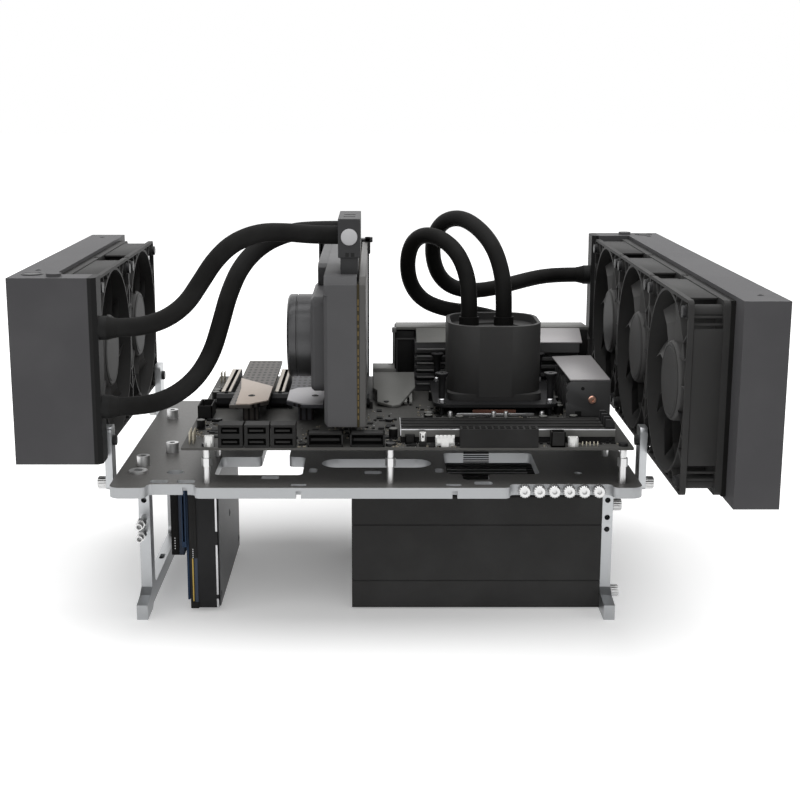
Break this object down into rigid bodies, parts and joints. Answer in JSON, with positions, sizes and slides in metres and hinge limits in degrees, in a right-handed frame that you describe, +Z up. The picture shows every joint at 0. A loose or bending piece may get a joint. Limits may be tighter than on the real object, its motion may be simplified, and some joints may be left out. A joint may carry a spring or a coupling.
{
  "type": "open air test bench",
  "caption": "Open bench with a slotted plate on side legs, carrying a circuit board, an upright card, a power supply and drives, with fan cooled radiators on both sides.",
  "frame": {"origin": "middle of the outline, on the surface that the feet stand on", "axes": "+X to the right along the longest extent, +Y to the back, +Z up"},
  "size_m": [0.4804, 0.4032, 0.2895],
  "materials": {
    "plate_metal": "satin",
    "leg_metal": "satin",
    "screw_metal": "satin",
    "dark_screw": "satin",
    "fan_plastic": "matte",
    "rotor_plastic": "matte",
    "gasket_rubber": "matte",
    "radiator_paint": "satin",
    "board_laminate": "satin",
    "slot_plastic": "satin",
    "latch_plastic": "satin",
    "cover_metal": "satin",
    "chip_metal": "satin",
    "rear_metal": "satin",
    "port_metal": "satin",
    "sink_metal": "satin",
    "copper": "satin",
    "pump_plastic": "satin",
    "fitting_plastic": "satin",
    "card_metal": "satin",
    "card_plate": "satin",
    "hose_rubber": "matte",
    "supply_paint": "satin",
    "drive_metal": "satin",
    "drive_laminate": "satin",
    "solid_drive_case": "satin"
  },
  "bodies": {
    "bench": {"bench_plate": "plate_metal", "left_leg": "leg_metal", "right_leg": "leg_metal", "standoffs": "screw_metal", "thumbscrews": "screw_metal", "plate_nuts": "screw_metal", "radiator_brackets": "leg_metal", "fan_screws": "dark_screw", "fan_gaskets": "gasket_rubber", "left_radiator": "radiator_paint", "right_radiator": "radiator_paint", "mainboard": "board_laminate", "board_screws": "screw_metal", "card_slots": "slot_plastic", "memory_slots": "slot_plastic", "main_power_socket": "slot_plastic", "data_ports": "slot_plastic", "board_headers": "slot_plastic", "drive_covers": "cover_metal", "chip_cover": "chip_metal", "rear_cover": "rear_metal", "rear_ports": "port_metal", "power_sinks": "sink_metal", "cpu_socket": "slot_plastic", "processor": "port_metal", "cold_plate": "copper", "cooler_bracket": "port_metal", "cooler_screws": "port_metal", "pump_housing": "pump_plastic", "pump_fittings": "fitting_plastic", "processor_hose_front": "hose_rubber", "processor_hose_rear": "hose_rubber", "graphics_board": "board_laminate", "graphics_shroud": "card_metal", "graphics_backplate": "card_plate", "graphics_cold_block": "card_metal", "graphics_pump": "pump_plastic", "graphics_bracket": "port_metal", "graphics_terminal": "pump_plastic", "graphics_hose_upper": "hose_rubber", "graphics_hose_lower": "hose_rubber", "supply_case": "supply_paint", "supply_inlet": "fitting_plastic", "hard_drive": "drive_metal", "hard_drive_board": "drive_laminate", "solid_drive": "solid_drive_case", "right_fan_frame_1": "fan_plastic", "right_fan_frame_2": "fan_plastic", "right_fan_frame_3": "fan_plastic", "left_fan_frame_1": "fan_plastic", "left_fan_frame_2": "fan_plastic"},
    "right_fan_rotor_1": {"right_fan_rotor_1": "rotor_plastic"},
    "right_fan_rotor_2": {"right_fan_rotor_2": "rotor_plastic"},
    "right_fan_rotor_3": {"right_fan_rotor_3": "rotor_plastic"},
    "left_fan_rotor_1": {"left_fan_rotor_1": "rotor_plastic"},
    "left_fan_rotor_2": {"left_fan_rotor_2": "rotor_plastic"},
    "supply_fan_rotor": {"supply_fan_rotor": "rotor_plastic"},
    "supply_switch": {"supply_switch": "latch_plastic"},
    "slot_latches": {"slot_latches": "latch_plastic"},
    "memory_latches": {"memory_latches": "latch_plastic"}
  },
  "joints": [
    {"name": "right_fan_spin_1", "type": "hinge", "parent": "bench", "child": "right_fan_rotor_1", "pos_m": [0.1975, -0.1225, 0.1915], "axis": [1, 0, 0], "continuous": true},
    {"name": "right_fan_spin_2", "type": "hinge", "parent": "bench", "child": "right_fan_rotor_2", "pos_m": [0.1975, -0.0025, 0.1915], "axis": [1, 0, 0], "continuous": true},
    {"name": "right_fan_spin_3", "type": "hinge", "parent": "bench", "child": "right_fan_rotor_3", "pos_m": [0.1975, 0.1175, 0.1915], "axis": [1, 0, 0], "continuous": true},
    {"name": "left_fan_spin_1", "type": "hinge", "parent": "bench", "child": "left_fan_rotor_1", "pos_m": [-0.1975, -0.0175, 0.1915], "axis": [-1, 0, 0], "continuous": true},
    {"name": "left_fan_spin_2", "type": "hinge", "parent": "bench", "child": "left_fan_rotor_2", "pos_m": [-0.1975, 0.1025, 0.1915], "axis": [-1, 0, 0], "continuous": true},
    {"name": "supply_fan_spin", "type": "hinge", "parent": "bench", "child": "supply_fan_rotor", "pos_m": [0.074, 0.047, 0.073], "axis": [0, 0, 1], "continuous": true},
    {"name": "supply_switch_rock", "type": "hinge", "parent": "bench", "child": "supply_switch", "pos_m": [0.15925, 0.062, 0.035], "axis": [0, 1, 0], "range_deg": [-16, 0]},
    {"name": "slot_latch_tip", "type": "hinge", "parent": "bench", "child": "slot_latches", "pos_m": [-0.065, 0.0333, 0.141], "axis": [1, 0, 0], "range_deg": [0, 18]},
    {"name": "memory_latch_tip", "type": "hinge", "parent": "bench", "child": "memory_latches", "pos_m": [0.16, -0.0582, 0.141], "axis": [0, 1, 0], "range_deg": [0, 18]}
  ]
}
